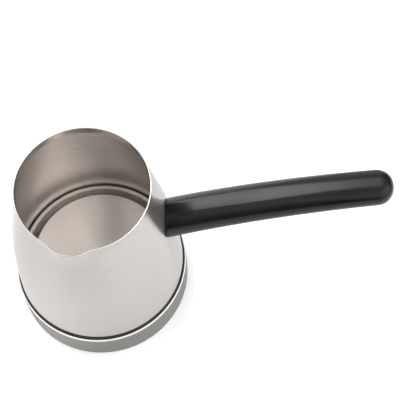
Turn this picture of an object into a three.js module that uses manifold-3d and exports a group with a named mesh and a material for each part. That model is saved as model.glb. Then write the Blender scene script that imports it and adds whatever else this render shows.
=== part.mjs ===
// Cordless electric cezve: a conical steel pot over a concealed heater, with one long arched handle.
// Millimetres, +Z up. Sub-parts are modelled about the pot's axis, with the handle along +X; the whole
// pot is then shifted so that the origin lies under the middle of its bounding box, on the standing plane.
import * as THREE from "three";
import { mergeVertices } from "three/addons/utils/BufferGeometryUtils.js";
import Module from "manifold-3d";

const wasm = await Module();
wasm.setup();

const rad = THREE.MathUtils.degToRad;

// Driving dimensions
const GAP = 0.3; // clearance between pieces that touch
const WALL_SEGMENTS = 72; // around the pot wall
const SEGMENTS = 48; // around the other large turned pieces
const SMALL_SEGMENTS = 32; // around the small ones

const FOOT_RADIUS = 46.1; // pot wall, outside, at its foot
const FOOT_HEIGHT = 25.6;
const RIM_RADIUS = 31.4;
const RIM_HEIGHT = 116.3;
const COLLAR_HEIGHT = 4.3; // upright band under the rim
const WALL = 0.7; // steel sheet of the pot

const SPOUT_ANGLE = rad(-99); // from the handle
const SPOUT_DEPTH = 15; // how far the pressing runs down the wall
const SPOUT_BEAK = 2.4; // rim pushed out at the spout
const SPOUT_BEAK_WIDTH = rad(14);

const PLATE = 0.8; // sheet of the heating plate
const PLATEAU_HEIGHT = 29.5; // top of the raised middle
const PLATEAU_RADIUS = 37.0;
const FLANGE_HEIGHT = 26.8; // top of the low edge
const FLANGE_INNER_RADIUS = 42.2;
const PLATE_EDGE_BOTTOM = 25.6;

const RING_RADIUS = 49.1; // base ring, at its widest near the bottom
const RING_MIDDLE_RADIUS = 48.7;
const RING_TOP_RADIUS = 47.9;
const RING_SHEET = 0.6;
const LIP_HEIGHT = 23.9;
const RING_BOTTOM = 0.4;
const RING_MIDDLE_HEIGHT = 12;
const RING_FOLD_RADIUS = 46.4; // where the sheet turns in under the pot
const RING_FLANGE = 3.1; // underside of the return flange
const RING_FLANGE_RADIUS = 45.1;

const SEAL_INNER_RADIUS = 44.6;
const SEAL_RADIUS = 46.9;
const SEAL_NECK_RADIUS = 46.6; // above its step, under the pot's foot
const SEAL_BOTTOM = 21.4;
const SEAL_STEP = 23.0;
const SEAL_TOP = 25.3;

const COVER_RADIUS = 46.0;
const COVER_BOTTOM = 0.9;
const COVER_TOP = 2.9;
const STAND_INNER_RADIUS = 42.0; // the rim of the cover that the pot stands on
const WELL_RADIUS = 19.0; // takes the boss of the power base
const WELL_WALL = 1.6;
const LEDGE_BOTTOM = 9.0;
const LEDGE_TOP = 12.0;
const LEDGE_INNER_RADIUS = 15.0;

const STUD_CIRCLE = 33.2;
const STUD_ANGLES = [60, 180, 300].map(rad);
const STUD_RADIUS = 2.2;
const STUD_BOTTOM = 6.0;
const BOSS_RADIUS = 4.0;
const BOSS_TOP = 5.7;
const SCREW_RADIUS = 1.3;
const SCREW_HEAD_RADIUS = 2.9;

const HOUSING_FLANGE_RADIUS = 18.7;
const HOUSING_BOTTOM = 6.0;
const HOUSING_TOP = LEDGE_TOP + GAP + 2;
const HOUSING_SCREW_CIRCLE = 16.8;
const HOUSING_SCREW_ANGLES = [25, 205].map(rad);
const HOUSING_BORE = 2.2;
const HOUSING_POST = 4.2; // radii of the walls between the contacts
const HOUSING_WALL = [7.6, 9.6];
const HOUSING_SKIRT = [13.0, 14.6];

const CONTACT_SHEET = 0.6;
const EARTH_RADIUS = 12.0;
const EARTH_ANGLE = rad(315); // of its tab
const NEUTRAL_RADIUS = 6.5;
const NEUTRAL_ANGLE = rad(180);
const LIVE_PIN_RADIUS = 1.8;

const SPREADER_RADIUS = 29.0;
const SPREADER_TOP = PLATEAU_HEIGHT - PLATE - GAP;
const SPREADER_BOTTOM = SPREADER_TOP - 2;
const ELEMENT_RADIUS = 22.0; // of the tube's centreline
const ELEMENT_TUBE = 3.2;
const ELEMENT_HEIGHT = SPREADER_BOTTOM - GAP - ELEMENT_TUBE;
const ELEMENT_END_ANGLE = rad(150);
const ELEMENT_BEND = 6.0;
const ELEMENT_END_HEIGHT = 15.5;

const CUTOUT_RADIUS = 8.0;
const CUTOUT_CAP_HEIGHT = 2.4;
const CUTOUT_PIN_RADIUS = 1.2;
const CUTOUT_PIN_CLEARANCE = 0.08;
const CUTOUT_PIN_TRAVEL = 0.5;
const CUTOUT_BODY_BOTTOM = 17.6;
const CUTOUT_TAB_ANGLES = [50, 130].map(rad);
const CUTOUT_TAB_END = 13.5;
const CUTOUT_TAB_HEIGHT = 19.0;
const CUTOUT_BODY_TOP = SPREADER_BOTTOM - GAP - CUTOUT_CAP_HEIGHT - GAP;

const HANDLE_START_RADIUS = 40.4; // where the centreline meets the pot
const HANDLE_START_HEIGHT = 82.8;
const HANDLE_LENGTH = 99.6; // along the centreline, up to the round end
const HANDLE_TIP = 8.0;
const HANDLE_START_SLOPE = rad(27.3);
const HANDLE_END_SLOPE = rad(13.0);
const HANDLE_ROOT = { halfWidth: 10.2, flat: 3.0, top: 8.6, bottom: 6.6 };
const HANDLE_END = { halfWidth: 8.5, flat: 4.8, top: 6.0, bottom: 6.3 };
const HANDLE_CROWN = 0.25; // rise of the top between its creases
const TANG_LENGTH = 38;
const TANG_HALF_WIDTH = 5.5;
const TANG_THICKNESS = 2.5;
const TANG_SCREW_AT = 24; // along the tang, from the wall
const SADDLE_SHEET = 1.2;
const SADDLE_HALF_WIDTH = 6;
const SADDLE_BOTTOM = 79;
const SADDLE_TOP = 86.5;

// Materials
const metal = (color, roughness) => new THREE.MeshStandardMaterial({ color, roughness, metalness: 1 });
const matt = (color, roughness) => new THREE.MeshStandardMaterial({ color, roughness, metalness: 0 });
const brushedSteel = metal(0xc9c5c0, 0.34);
const turnedSteel = metal(0xb8aea4, 0.38);
const zincSteel = metal(0xb4b6b8, 0.45);
const aluminium = metal(0xc4c6c8, 0.5);
const brass = metal(0xc9a860, 0.35);
const bimetal = metal(0x9a9488, 0.4);
const blackHandle = matt(0x17161a, 0.32);
const blackPlastic = matt(0x1d1d1f, 0.6);
const blackRubber = matt(0x101010, 0.8);
const ceramic = matt(0xe8e4da, 0.55);
const glassSleeve = matt(0xe9e6df, 0.7);
const redLead = matt(0x9c2b22, 0.6);
const blueLead = matt(0x2d4f8e, 0.6);
const greenLead = matt(0x4f8a3a, 0.6);

const cezve = new THREE.Group();

function addPiece(name, geometry, material) {
  const mesh = new THREE.Mesh(geometry, material);
  mesh.name = name;
  cezve.add(mesh);
}

// Turns an outline of [radius, height] points, listed anticlockwise, about the Z axis. An outline that
// doesn't start on the axis is closed on itself.
function lathe(outline, segments = SEGMENTS) {
  const points = outline.map(([r, z]) => new THREE.Vector2(r, z));
  if (outline[0][0] > 0) points.push(points[0].clone());
  return new THREE.LatheGeometry(points, segments).rotateX(Math.PI / 2);
}

function ring(inner, outer, bottom, top, segments = SMALL_SEGMENTS) {
  return lathe([[inner, bottom], [outer, bottom], [outer, top], [inner, top]], segments);
}

function disc(radius, bottom, top, segments = SMALL_SEGMENTS) {
  return lathe([[0, bottom], [radius, bottom], [radius, top], [0, top]], segments);
}

function block(sizeX, sizeY, bottom, top, x = 0, y = 0) {
  return new THREE.BoxGeometry(sizeX, sizeY, top - bottom).translate(x, y, (bottom + top) / 2);
}

// Closed mesh to manifold solid and back
function toSolid(geometry) {
  const bare = geometry.index ? geometry.toNonIndexed() : geometry.clone();
  bare.deleteAttribute("normal");
  bare.deleteAttribute("uv");
  const merged = mergeVertices(bare, 1e-4);
  return new wasm.Manifold(
    new wasm.Mesh({
      numProp: 3,
      vertProperties: merged.attributes.position.array,
      triVerts: new Uint32Array(merged.index.array),
    }),
  );
}

function toGeometry(solid) {
  const mesh = solid.getMesh();
  return new THREE.BufferGeometry()
    .setAttribute("position", new THREE.BufferAttribute(mesh.vertProperties, 3))
    .setIndex(new THREE.BufferAttribute(mesh.triVerts, 1));
}

function cut(geometry, ...tools) {
  return toGeometry(tools.reduce((solid, tool) => solid.subtract(toSolid(tool)), toSolid(geometry)));
}

function join(...geometries) {
  return toGeometry(geometries.map(toSolid).reduce((all, solid) => all.add(solid)));
}

function overlap(a, b) {
  return toGeometry(toSolid(a).intersect(toSolid(b)));
}

// Tube along a curve
function tube(curve, radius, sides, steps) {
  const section = new THREE.Shape(
    Array.from({ length: sides }, (_, i) => {
      const angle = (2 * Math.PI * i) / sides;
      return new THREE.Vector2(radius * Math.cos(angle), radius * Math.sin(angle));
    }),
  );
  return new THREE.ExtrudeGeometry(section, { extrudePath: curve, steps, bevelEnabled: false });
}

function polar(radius, angle, z) {
  return new THREE.Vector3(radius * Math.cos(angle), radius * Math.sin(angle), z);
}

// Pot wall

// Outside of the wall from foot to rim: a bulging cone that ends in an upright collar.
function wallOutline() {
  const cone = new THREE.SplineCurve([
    new THREE.Vector2(FOOT_RADIUS, FOOT_HEIGHT),
    new THREE.Vector2(43.9, 48.3),
    new THREE.Vector2(40.75, 71.0),
    new THREE.Vector2(36.05, 93.6),
    new THREE.Vector2(RIM_RADIUS + 0.1, RIM_HEIGHT - COLLAR_HEIGHT),
  ]);
  return [...cone.getPoints(9).map((p) => [p.x, p.y]), [RIM_RADIUS, RIM_HEIGHT]];
}

// Radius of the wall's outside at a height
function wallRadius(z) {
  const outline = wallOutline();
  const above = outline.findIndex((point) => point[1] >= z);
  const [r0, z0] = outline[above - 1];
  const [r1, z1] = outline[above];
  return r0 + ((r1 - r0) * (z - z0)) / (z1 - z0);
}

// Solid cone of the wall's outside, grown by a margin, for fitting the handle to it
function wallCore(margin) {
  const outline = wallOutline().map(([r, z]) => [r + margin, z]);
  return lathe([[0, FOOT_HEIGHT], ...outline, [0, RIM_HEIGHT]]);
}

// How far the spout, a blunt U in plan, moves the rim outwards at an angle around the pot
function spoutPush(angle) {
  const away = Math.atan2(Math.sin(angle - SPOUT_ANGLE), Math.cos(angle - SPOUT_ANGLE));
  return SPOUT_BEAK * Math.exp(-((away / SPOUT_BEAK_WIDTH) ** 4));
}

function pressSpout(geometry) {
  const position = geometry.attributes.position;
  for (let i = 0; i < position.count; i++) {
    const x = position.getX(i);
    const y = position.getY(i);
    const depth = THREE.MathUtils.smoothstep(position.getZ(i), RIM_HEIGHT - SPOUT_DEPTH, RIM_HEIGHT);
    const scale = 1 + (spoutPush(Math.atan2(y, x)) * depth) / Math.hypot(x, y);
    position.setXY(i, x * scale, y * scale);
  }
  return geometry;
}

function makePotBody() {
  const outside = wallOutline();
  const extra = [RIM_HEIGHT - 2.2, RIM_HEIGHT - 7, RIM_HEIGHT - 11].map((z) => [wallRadius(z), z]);
  const full = [...outside, ...extra].sort((a, b) => a[1] - b[1]);
  const inside = full.map(([r, z]) => [r - WALL, z]).reverse();
  addPiece("pot_body", pressSpout(lathe([...full, ...inside], WALL_SEGMENTS)), brushedSteel);
}

// Stepped disc: rolled edge, narrow flange, sloping step, flat raised middle
function makeHeatingPlate() {
  const edge = FOOT_RADIUS - WALL - GAP;
  const slope = Math.atan2(PLATEAU_HEIGHT - FLANGE_HEIGHT, FLANGE_INNER_RADIUS - PLATEAU_RADIUS);
  const under = PLATE / Math.cos(slope);
  addPiece(
    "heating_plate",
    lathe([
      [0, PLATEAU_HEIGHT - PLATE],
      [PLATEAU_RADIUS - 0.6, PLATEAU_HEIGHT - PLATE],
      [FLANGE_INNER_RADIUS - 1.2, FLANGE_HEIGHT - under + 0.1],
      [edge - 1.5, FLANGE_HEIGHT - PLATE],
      [edge - 1.1, PLATE_EDGE_BOTTOM],
      [edge, PLATE_EDGE_BOTTOM],
      [edge, FLANGE_HEIGHT - 0.7],
      [edge - 0.25, FLANGE_HEIGHT - 0.25],
      [edge - 0.7, FLANGE_HEIGHT],
      [FLANGE_INNER_RADIUS, FLANGE_HEIGHT],
      [FLANGE_INNER_RADIUS - 0.6, FLANGE_HEIGHT + 0.2],
      [PLATEAU_RADIUS + 0.5, PLATEAU_HEIGHT - 0.2],
      [PLATEAU_RADIUS - 0.3, PLATEAU_HEIGHT],
      [0, PLATEAU_HEIGHT],
    ]),
    turnedSteel,
  );
}

// Base

// One folded sheet: bright rolled lip, flared wall, rolled bottom bead and a short return flange.
function makeBaseRing() {
  const inner = RING_TOP_RADIUS - RING_SHEET;
  const fold = RING_FOLD_RADIUS + RING_SHEET;
  const bead = RING_BOTTOM + RING_SHEET;
  addPiece(
    "base_ring",
    lathe([
      [RING_FLANGE_RADIUS, RING_FLANGE],
      [RING_FOLD_RADIUS, RING_FLANGE],
      [RING_FOLD_RADIUS, bead],
      [fold, RING_BOTTOM],
      [RING_RADIUS - 0.8, RING_BOTTOM],
      [RING_RADIUS - 0.2, RING_BOTTOM + 0.4],
      [RING_RADIUS, RING_BOTTOM + 1.4],
      [RING_MIDDLE_RADIUS, RING_MIDDLE_HEIGHT],
      [RING_TOP_RADIUS, LIP_HEIGHT - 1.6],
      [RING_TOP_RADIUS - 0.15, LIP_HEIGHT - 0.6],
      [RING_TOP_RADIUS - 0.5, LIP_HEIGHT],
      [inner - 0.25, LIP_HEIGHT - 0.1],
      [inner - 0.25, LIP_HEIGHT - 0.7],
      [inner, LIP_HEIGHT - 1.7],
      [RING_MIDDLE_RADIUS - RING_SHEET, RING_MIDDLE_HEIGHT],
      [RING_RADIUS - RING_SHEET, RING_BOTTOM + 1.4],
      [RING_RADIUS - 1, bead],
      [fold, bead],
      [fold, RING_FLANGE + RING_SHEET],
      [RING_FLANGE_RADIUS, RING_FLANGE + RING_SHEET],
    ]),
    brushedSteel,
  );
}

function makeSealRing() {
  addPiece(
    "seal_ring",
    lathe([
      [SEAL_INNER_RADIUS, SEAL_BOTTOM],
      [SEAL_RADIUS, SEAL_BOTTOM],
      [SEAL_RADIUS, SEAL_STEP],
      [SEAL_NECK_RADIUS, SEAL_STEP + 0.2],
      [SEAL_NECK_RADIUS, SEAL_TOP - 0.3],
      [SEAL_NECK_RADIUS - 0.3, SEAL_TOP],
      [SEAL_INNER_RADIUS, SEAL_TOP],
    ]),
    blackRubber,
  );
}

function coverPlate() {
  const wellOutside = WELL_RADIUS + WELL_WALL;
  return lathe([
    [WELL_RADIUS, COVER_BOTTOM],
    [STAND_INNER_RADIUS - 0.8, COVER_BOTTOM],
    [STAND_INNER_RADIUS, 0],
    [COVER_RADIUS - 0.6, 0],
    [COVER_RADIUS, 0.6],
    [COVER_RADIUS, COVER_TOP - 0.1],
    [wellOutside, COVER_TOP - 0.1],
    [wellOutside, LEDGE_TOP],
    [LEDGE_INNER_RADIUS, LEDGE_TOP],
    [LEDGE_INNER_RADIUS, LEDGE_BOTTOM],
    [WELL_RADIUS, LEDGE_BOTTOM],
  ]);
}

function makeBaseCover() {
  const at = (geometry, circle, angle) => geometry.translate(...polar(circle, angle, 0));
  const bosses = STUD_ANGLES.map((angle) => at(disc(BOSS_RADIUS, 2, BOSS_TOP, 24), STUD_CIRCLE, angle));
  const holes = STUD_ANGLES.map((angle) =>
    at(disc(SCREW_RADIUS + 0.5, 0, BOSS_TOP + 1, 24), STUD_CIRCLE, angle),
  );
  const recesses = STUD_ANGLES.map((angle) =>
    at(disc(SCREW_HEAD_RADIUS + 0.4, 0, 3.2, 24), STUD_CIRCLE, angle),
  );
  const pilots = HOUSING_SCREW_ANGLES.map((angle) =>
    at(disc(1.1, LEDGE_TOP - 2.2, LEDGE_TOP + 1, 12), HOUSING_SCREW_CIRCLE, angle),
  );
  addPiece("base_cover", cut(join(coverPlate(), ...bosses), ...holes, ...recesses, ...pilots), blackPlastic);
}

function makeCoverFastenings() {
  const stud = lathe(
    [
      [0, STUD_BOTTOM + 9],
      [SCREW_RADIUS + GAP, STUD_BOTTOM + 9],
      [SCREW_RADIUS + GAP, STUD_BOTTOM],
      [STUD_RADIUS, STUD_BOTTOM],
      [STUD_RADIUS, SPREADER_TOP],
      [0, SPREADER_TOP],
    ],
    16,
  );
  const screw = lathe(
    [
      [0, 1.2],
      [SCREW_HEAD_RADIUS - 0.5, 1.2],
      [SCREW_HEAD_RADIUS, 1.8],
      [SCREW_HEAD_RADIUS, 2.9],
      [SCREW_RADIUS, 2.9],
      [SCREW_RADIUS, STUD_BOTTOM + 7],
      [0, STUD_BOTTOM + 8],
    ],
    20,
  );
  const slot = block(3.4, 0.8, 0, 1.9);
  const slotted = cut(screw, slot, slot.clone().rotateZ(Math.PI / 2));
  STUD_ANGLES.forEach((angle, i) => {
    const place = polar(STUD_CIRCLE, angle, 0);
    addPiece(`cover_stud_${i + 1}`, stud.clone().translate(...place), zincSteel);
    addPiece(`cover_screw_${i + 1}`, slotted.clone().translate(...place), zincSteel);
  });
}

// Cordless connector: three concentric contacts in a moulded housing, seen at the top of the well

function makeConnector() {
  const top = HOUSING_TOP;
  const floor = top - 2.2;
  const mouth = HOUSING_BOTTOM + 0.6;
  const housing = lathe(
    [
      [HOUSING_BORE, mouth],
      [HOUSING_POST, mouth],
      [HOUSING_POST, floor],
      [HOUSING_WALL[0], floor],
      [HOUSING_WALL[0], mouth],
      [HOUSING_WALL[1], mouth],
      [HOUSING_WALL[1], floor],
      [HOUSING_SKIRT[0], floor],
      [HOUSING_SKIRT[0], HOUSING_BOTTOM],
      [HOUSING_SKIRT[1], HOUSING_BOTTOM],
      [HOUSING_SKIRT[1], LEDGE_TOP + GAP],
      [HOUSING_FLANGE_RADIUS, LEDGE_TOP + GAP],
      [HOUSING_FLANGE_RADIUS, top],
      [HOUSING_BORE, top],
    ],
    36,
  );
  const tab = (radius, angle, width, thickness, bottom, up) =>
    block(thickness, width, bottom, up, radius, 0).rotateZ(angle);
  const screwHoles = HOUSING_SCREW_ANGLES.map((angle) =>
    disc(1.4, LEDGE_TOP, top + 1, 12).translate(...polar(HOUSING_SCREW_CIRCLE, angle, 0)),
  );
  const earthSlot = tab(EARTH_RADIUS + 0.2, EARTH_ANGLE, 5, 1.7, floor - 1, top + 1);
  const neutralSlot = tab(NEUTRAL_RADIUS + 0.2, NEUTRAL_ANGLE, 4, 1.6, floor - 1, top + 1);
  addPiece("connector_housing", cut(housing, ...screwHoles, earthSlot, neutralSlot), blackPlastic);

  const contactTop = floor - GAP;
  const band = (radius, bottom) => ring(radius, radius + CONTACT_SHEET, bottom, contactTop);
  const thinEarthTab = overlap(
    tab(EARTH_RADIUS + 0.3, EARTH_ANGLE, 4, 2, contactTop - 2, top + 3.5),
    ring(EARTH_RADIUS + 0.05, EARTH_RADIUS + 0.55, 0, 30),
  );
  addPiece("earth_contact", join(band(EARTH_RADIUS, HOUSING_BOTTOM + 1), thinEarthTab), brass);
  const thinNeutralTab = overlap(
    tab(NEUTRAL_RADIUS + 0.3, NEUTRAL_ANGLE, 3, 2, contactTop - 2, top + 2.4),
    ring(NEUTRAL_RADIUS + 0.1, NEUTRAL_RADIUS + 0.55, 0, 30),
  );
  addPiece("neutral_contact", join(band(NEUTRAL_RADIUS, HOUSING_BOTTOM + 1.2), thinNeutralTab), brass);
  const pin = lathe(
    [
      [0, HOUSING_BOTTOM + 1.4],
      [LIVE_PIN_RADIUS - 0.5, HOUSING_BOTTOM + 1.4],
      [LIVE_PIN_RADIUS, HOUSING_BOTTOM + 2],
      [LIVE_PIN_RADIUS, top + GAP],
      [0, top + GAP],
    ],
    20,
  );
  const blade = block(12, 3, top + GAP - 0.1, top + GAP + 0.7, 5, 0).rotateZ(rad(90));
  addPiece("live_pin", join(pin, blade), brass);

  const screw = lathe(
    [
      [0, LEDGE_TOP - 1.6],
      [0.8, LEDGE_TOP - 1],
      [0.8, top + 0.2],
      [1.8, top + 0.2],
      [1.8, top + 1.2],
      [0, top + 1.4],
    ],
    12,
  );
  HOUSING_SCREW_ANGLES.forEach((angle, i) => {
    const place = polar(HOUSING_SCREW_CIRCLE, angle, 0);
    addPiece(`connector_screw_${i + 1}`, screw.clone().translate(...place), zincSteel);
  });
}

// Concealed heater

// Route of the sheathed tube: an open ring whose two ends turn down to the terminals.
class ElementRoute extends THREE.Curve {
  getPoint(t) {
    const arc = ELEMENT_RADIUS * ELEMENT_END_ANGLE;
    const bend = (ELEMENT_BEND * Math.PI) / 2;
    const drop = ELEMENT_HEIGHT - ELEMENT_BEND - ELEMENT_END_HEIGHT;
    const along = (2 * t - 1) * (arc + bend + drop);
    const side = Math.sign(along) || 1;
    const past = Math.abs(along) - arc;
    if (past <= 0) return polar(ELEMENT_RADIUS, along / ELEMENT_RADIUS, ELEMENT_HEIGHT);
    const turned = Math.min(past / ELEMENT_BEND, Math.PI / 2);
    const forward = ELEMENT_BEND * Math.sin(turned);
    const down = ELEMENT_BEND * (1 - Math.cos(turned)) + Math.max(0, past - bend);
    const angle = side * (ELEMENT_END_ANGLE + forward / ELEMENT_RADIUS);
    return polar(ELEMENT_RADIUS, angle, ELEMENT_HEIGHT - down);
  }
}

const ELEMENT_TERMINAL_ANGLE = ELEMENT_END_ANGLE + ELEMENT_BEND / ELEMENT_RADIUS;

function makeHeater() {
  addPiece("heat_spreader", disc(SPREADER_RADIUS, SPREADER_BOTTOM, SPREADER_TOP, 48), aluminium);
  addPiece("heating_element", tube(new ElementRoute(), ELEMENT_TUBE, 8, 38), zincSteel);
  [1, -1].forEach((side, i) => {
    const terminal = disc(1.2, 10.4, ELEMENT_END_HEIGHT - GAP, 12);
    const place = polar(ELEMENT_RADIUS + 0.4, side * ELEMENT_TERMINAL_ANGLE, 0);
    addPiece(`element_pin_${i + 1}`, terminal.translate(...place), zincSteel);
  });
}

// Boil-dry cut-out: a bimetal disc in a cap against the spreader, a push pin and a contact blade

function makeCutout() {
  const capTop = SPREADER_BOTTOM - GAP;
  const capBottom = capTop - CUTOUT_CAP_HEIGHT;
  const bore = CUTOUT_PIN_RADIUS + CUTOUT_PIN_CLEARANCE;
  const cap = [
    [7.3, capBottom],
    [CUTOUT_RADIUS, capBottom],
    [CUTOUT_RADIUS, capTop],
    [0, capTop],
    [0, capTop - 0.6],
    [7.3, capTop - 0.6],
  ];
  addPiece("cutout_cap", lathe(cap, SMALL_SEGMENTS), aluminium);
  const dished = [
    [0, capTop - 1.4],
    [6.8, capTop - 1.9],
    [6.8, capTop - 1.6],
    [0, capTop - 1.1],
  ];
  addPiece("bimetal_disc", lathe(dished, SMALL_SEGMENTS), bimetal);
  addPiece("cutout_body", ring(bore, CUTOUT_RADIUS, CUTOUT_BODY_BOTTOM, CUTOUT_BODY_TOP), ceramic);
  CUTOUT_TAB_ANGLES.forEach((angle, i) => {
    const start = CUTOUT_RADIUS + GAP;
    const middle = (CUTOUT_TAB_END + start) / 2;
    const tab = block(CUTOUT_TAB_END - start, 4, CUTOUT_TAB_HEIGHT - 0.4, CUTOUT_TAB_HEIGHT + 0.4, middle);
    tab.rotateZ(angle);
    addPiece(`cutout_tab_${i + 1}`, tab, brass);
  });
  addPiece(
    "cutout_pin",
    disc(CUTOUT_PIN_RADIUS, CUTOUT_BODY_BOTTOM - 0.2, capTop - 1.9, SMALL_SEGMENTS),
    ceramic,
  );
  const bladeTop = CUTOUT_BODY_BOTTOM - 0.2 - CUTOUT_PIN_TRAVEL - 0.2;
  addPiece("contact_blade", block(4, 14, bladeTop - 0.4, bladeTop), brass);
}

// Wiring inside the base

function makeWiring() {
  const fuseRadius = 13.6;
  const fuseHeight = SPREADER_BOTTOM - GAP - 2.2;
  const fuse = new THREE.CylinderGeometry(2, 2, 11, 16).translate(-fuseRadius, 0, fuseHeight);
  addPiece("thermal_fuse", fuse, glassSleeve);
  const route = (...points) => new THREE.CatmullRomCurve3(points);
  const at = (x, y, z) => new THREE.Vector3(x, y, z);
  const lead = (name, curve, material) => addPiece(name, tube(curve, 1.1, 8, 12), material);
  const [liveTab, fuseTab] = CUTOUT_TAB_ANGLES.map((angle) =>
    polar(CUTOUT_TAB_END + 0.6, angle, CUTOUT_TAB_HEIGHT),
  );
  lead(
    "lead_live",
    route(at(0, 11.6, 15.6), at(1.5, 14.2, 15.8), at(6.5, 15.6, 16.8), at(10.2, 13.2, 18.6), liveTab),
    redLead,
  );
  lead(
    "lead_fuse",
    route(fuseTab, at(-10.5, 12.5, 19.8), at(-12.8, 11.4, 22.6), at(-13.6, 8.6, 23.8), at(-13.6, 6, 23.9)),
    redLead,
  );
  lead(
    "lead_element",
    route(
      at(-13.6, -6, 23.9),
      at(-13.6, -8.4, 23.2),
      at(-13.4, -10, 19.5),
      at(-16.5, -12, 15.6),
      at(-20.8, -11.2, 13),
      at(-21.8, -7.3, 12.4),
    ),
    redLead,
  );
  lead(
    "lead_neutral",
    route(
      at(-7.7, 0, 15.9),
      at(-11, 0.8, 15.9),
      at(-15.5, 5.5, 16.4),
      at(-17, 10, 15.8),
      at(-20.8, 10.5, 13.6),
      at(-21.8, 7.3, 12.4),
    ),
    blueLead,
  );
  lead(
    "lead_earth",
    route(at(9.4, -9.4, 16.8), at(12.5, -13.5, 16.6), at(15.5, -20, 15.8), at(16.6, -26, 15)),
    greenLead,
  );
}

// Handle

// Point of the handle's centreline and its slope at a distance along it: an arc that flattens outwards.
function handleStation(s) {
  const radius = HANDLE_LENGTH / (HANDLE_START_SLOPE - HANDLE_END_SLOPE);
  const slope = HANDLE_START_SLOPE - s / radius;
  const x = HANDLE_START_RADIUS + radius * (Math.sin(HANDLE_START_SLOPE) - Math.sin(slope));
  const z = HANDLE_START_HEIGHT + radius * (Math.cos(slope) - Math.cos(HANDLE_START_SLOPE));
  return { x, z, slope };
}

// Cross-section: crowned top between two creases, sloping flanks, round belly
function handleSection(size, across, up) {
  const { halfWidth, flat, top, bottom } = size;
  const section = new THREE.Shape();
  section.moveTo(halfWidth, 0);
  section.quadraticCurveTo(halfWidth, 0.62 * top, flat, top);
  section.quadraticCurveTo(0, top + HANDLE_CROWN, -flat, top);
  section.quadraticCurveTo(-halfWidth, 0.62 * top, -halfWidth, 0);
  section.bezierCurveTo(-halfWidth, -0.55 * bottom, -0.55 * halfWidth, -bottom, 0, -bottom);
  section.bezierCurveTo(0.55 * halfWidth, -bottom, halfWidth, -0.55 * bottom, halfWidth, 0);
  return section
    .getPoints(5)
    .slice(0, -1)
    .map((p) => new THREE.Vector2(p.x * across, p.y * up));
}

// Distances along the handle, each with the share of its width and height there. The end is round in plan
// and squarer from the side.
function handleStations() {
  const stations = [];
  for (let s = -12; s < HANDLE_LENGTH; s += 9.3) stations.push([s, 1, 1]);
  for (let turn = 0; turn < 90; turn += 12) {
    const out = Math.sin(rad(turn));
    stations.push([HANDLE_LENGTH + HANDLE_TIP * out, Math.sqrt(1 - out ** 2), Math.sqrt(1 - out ** 4)]);
  }
  return stations;
}

function handleLoft() {
  const rings = handleStations().map(([s, across, up]) => {
    const share = THREE.MathUtils.clamp(s / HANDLE_LENGTH, 0, 1);
    const size = {};
    for (const key in HANDLE_ROOT) {
      size[key] = THREE.MathUtils.lerp(HANDLE_ROOT[key], HANDLE_END[key], share);
    }
    const { x, z, slope } = handleStation(s);
    return handleSection(size, across, up).map(
      (p) => new THREE.Vector3(x - p.y * Math.sin(slope), p.x, z + p.y * Math.cos(slope)),
    );
  });
  return loft(rings);
}

// Closed skin over rings of equal point count, with a fan on each end
function loft(rings) {
  const count = rings[0].length;
  const points = rings.flat();
  const faces = [];
  for (let i = 0; i + 1 < rings.length; i++) {
    for (let j = 0; j < count; j++) {
      const a = i * count + j;
      const b = i * count + ((j + 1) % count);
      faces.push(a, b, a + count, b, b + count, a + count);
    }
  }
  const last = (rings.length - 1) * count;
  for (const [base, flip] of [[0, true], [last, false]]) {
    const middle = points.length;
    points.push(rings[base / count].reduce((sum, p) => sum.add(p), new THREE.Vector3()).divideScalar(count));
    for (let j = 0; j < count; j++) {
      const a = base + j;
      const b = base + ((j + 1) % count);
      faces.push(middle, flip ? b : a, flip ? a : b);
    }
  }
  return new THREE.BufferGeometry().setFromPoints(points).setIndex(faces);
}

// Places geometry modelled with X along the straight tang and Z towards the handle's top
function onTang(geometry) {
  const start = handleStation(0);
  return geometry.rotateY(-start.slope).translate(start.x, 0, start.z);
}

// Flat bar welded to the saddle, from inside the wall to its free end
function tang(grow) {
  const buried = 5;
  const length = TANG_LENGTH + buried + 2 * grow;
  const thickness = TANG_THICKNESS / 2 + grow;
  const width = 2 * (TANG_HALF_WIDTH + grow);
  return onTang(block(length, width, -thickness, thickness, (TANG_LENGTH - buried) / 2));
}

// Block that bounds the saddle, the curved foot of the bracket against the wall
function saddleBand(grow) {
  const width = 2 * (SADDLE_HALF_WIDTH + grow);
  return block(30, width, SADDLE_BOTTOM - grow, SADDLE_TOP + grow, HANDLE_START_RADIUS);
}

function makeHandle() {
  const saddle = overlap(cut(wallCore(GAP + SADDLE_SHEET), wallCore(GAP)), saddleBand(0));
  const bracket = cut(
    join(saddle, cut(tang(0), wallCore(GAP + 0.2))),
    onTang(disc(1.8, -4, 4, 20).translate(TANG_SCREW_AT, 0, 0)),
  );
  addPiece("handle_bracket", bracket, zincSteel);

  const pocket = overlap(wallCore(SADDLE_SHEET + 3 * GAP), saddleBand(GAP));
  const shank = disc(1.9, -12, 0, 20).translate(TANG_SCREW_AT, 0, 0);
  const recess = disc(3.3, -20, -4.6, 20).translate(TANG_SCREW_AT, 0, 0);
  const grip = cut(handleLoft(), wallCore(GAP), pocket, tang(GAP), onTang(shank), onTang(recess));
  addPiece("handle", grip, blackHandle);

  const screw = lathe(
    [
      [0, -6.6],
      [2.4, -6.6],
      [2.9, -6.1],
      [2.9, -4.9],
      [1.5, -4.9],
      [1.5, 0.8],
      [0, 0.8],
    ],
    20,
  );
  const slot = block(3.4, 0.8, -8, -5.9);
  const slotted = cut(screw, slot, slot.clone().rotateZ(Math.PI / 2));
  addPiece("handle_screw", onTang(slotted.translate(TANG_SCREW_AT, 0, 0)), zincSteel);
}

makePotBody();
makeHeatingPlate();
makeBaseRing();
makeSealRing();
makeBaseCover();
makeCoverFastenings();
makeConnector();
makeHeater();
makeCutout();
makeWiring();
makeHandle();

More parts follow.
